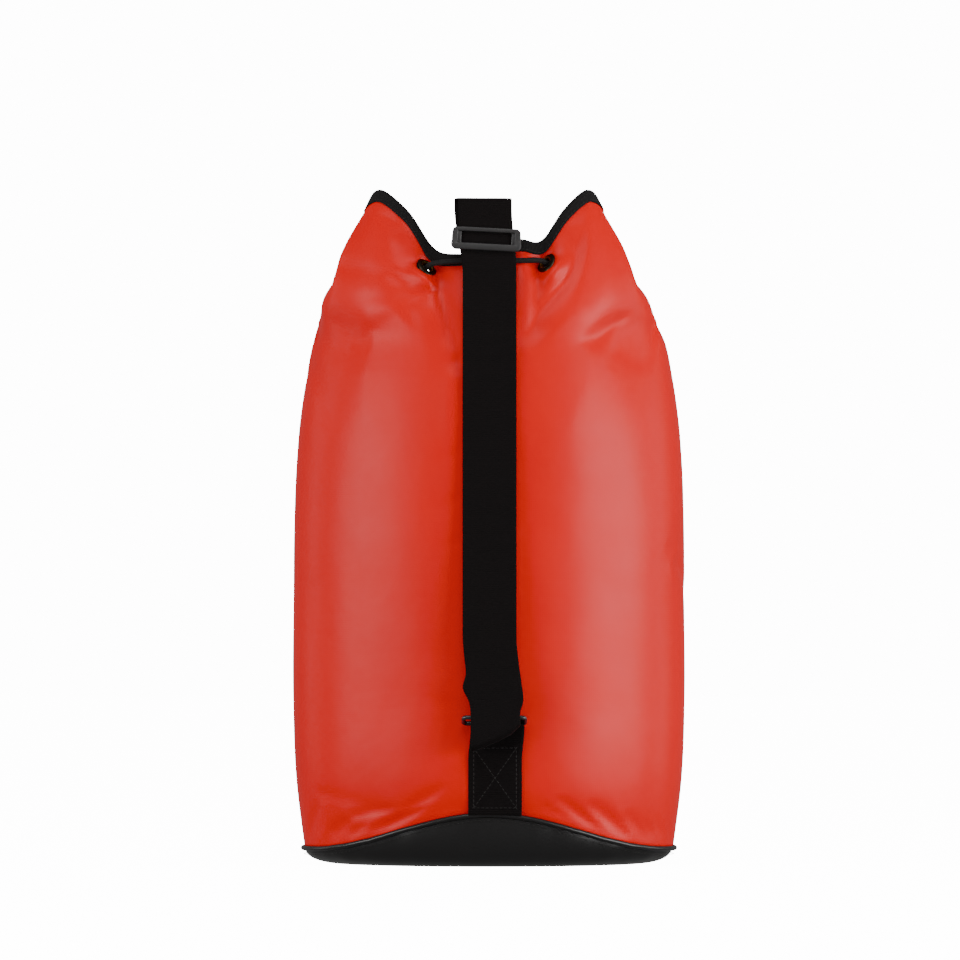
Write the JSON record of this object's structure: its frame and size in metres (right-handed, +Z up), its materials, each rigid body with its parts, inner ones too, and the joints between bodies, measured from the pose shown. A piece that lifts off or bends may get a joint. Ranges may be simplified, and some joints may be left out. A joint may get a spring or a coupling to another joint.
{
  "type": "drawstring dry bag",
  "caption": "Tall soft kit bag of coated fabric with an oval base, an open mouth gathered by a drawcord through eyelets, and one adjustable webbing shoulder strap down its front.",
  "frame": {"origin": "middle of the base panel's underside, on the floor", "axes": "+Z up towards the mouth, the strap's side faces -Y, X across the bag's width"},
  "size_m": [0.3532, 0.265, 0.6022],
  "materials": {
    "pvc_shell": "glossy coated polyester",
    "pvc_base": "satin coated polyester",
    "pvc_piping": "satin",
    "binding_tape": "woven tape",
    "eyelet_brass": "antique",
    "braided_cord": "braided",
    "webbing": "woven webbing",
    "ring_steel": "black satin",
    "slider_plastic": "moulded"
  },
  "bodies": {
    "bag": {"body_shell": "pvc_shell", "base_panel": "pvc_base", "base_piping": "pvc_piping", "mouth_binding": "binding_tape", "eyelets": "eyelet_brass", "eyelet_washers": "eyelet_brass", "drawcord": "braided_cord", "strap_tab": "webbing"},
    "ring": {"lower_ring": "ring_steel"},
    "strap": {"shoulder_strap": "webbing"},
    "slider": {"slider_frame": "slider_plastic", "slider_webbing_end": "webbing"}
  },
  "joints": [
    {"name": "strap_swing", "type": "hinge", "parent": "bag", "child": "strap", "pos_m": [0, -0.13595, 0.13503], "axis": [1, 0, 0], "range_deg": [0, 45]},
    {"name": "ring_hinge", "type": "hinge", "parent": "bag", "child": "ring", "pos_m": [0, -0.12352, 0.1295], "axis": [1, 0, 0], "range_deg": [0, 15]},
    {"name": "slider_slide", "type": "slide", "parent": "strap", "child": "slider", "axis": [0, 0.0811, 0.9967], "range_m": [-0.32, 0]}
  ],
  "couplings": [
    {"joint": "ring_hinge", "follows": "strap_swing", "ratio": 0.33333}
  ]
}
